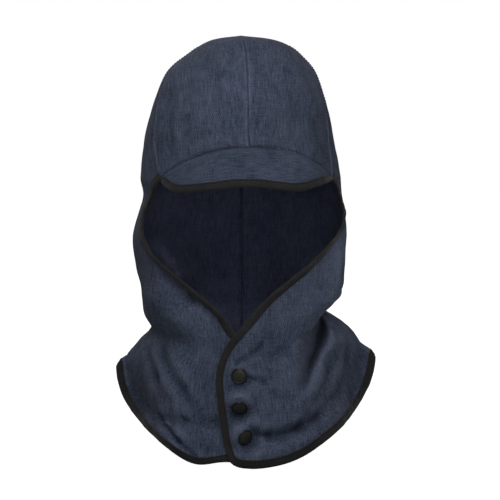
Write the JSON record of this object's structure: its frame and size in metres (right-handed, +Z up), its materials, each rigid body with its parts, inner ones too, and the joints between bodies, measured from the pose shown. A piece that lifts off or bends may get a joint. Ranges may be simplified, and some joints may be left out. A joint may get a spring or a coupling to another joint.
{
  "type": "denim welding hood",
  "caption": "Soft denim welding hood with a short bill, an open face, a lapped front closed by snaps and a flared shoulder cape, bound in black tape.",
  "frame": {"origin": "inside top of the crown, where the head carries the hood", "axes": "+Z up, the face opening looks to -Y, +X is the wearer's left"},
  "size_m": [0.2625, 0.2646, 0.4118],
  "materials": {
    "denim": "matt dark blue twill with a pale weft showing through",
    "tape": "matt black folded binding tape",
    "snap": "satin black enamel"
  },
  "bodies": {
    "root": {"crown_left": "denim", "crown_right": "denim", "panel_left": "denim", "panel_right": "denim", "bill": "denim", "bill_tape": "tape", "edge_tape": "tape", "snap_cap_1": "snap", "snap_cap_2": "snap", "snap_cap_3": "snap", "snap_stud_1": "snap", "snap_stud_2": "snap", "snap_stud_3": "snap"}
  },
  "joints": []
}
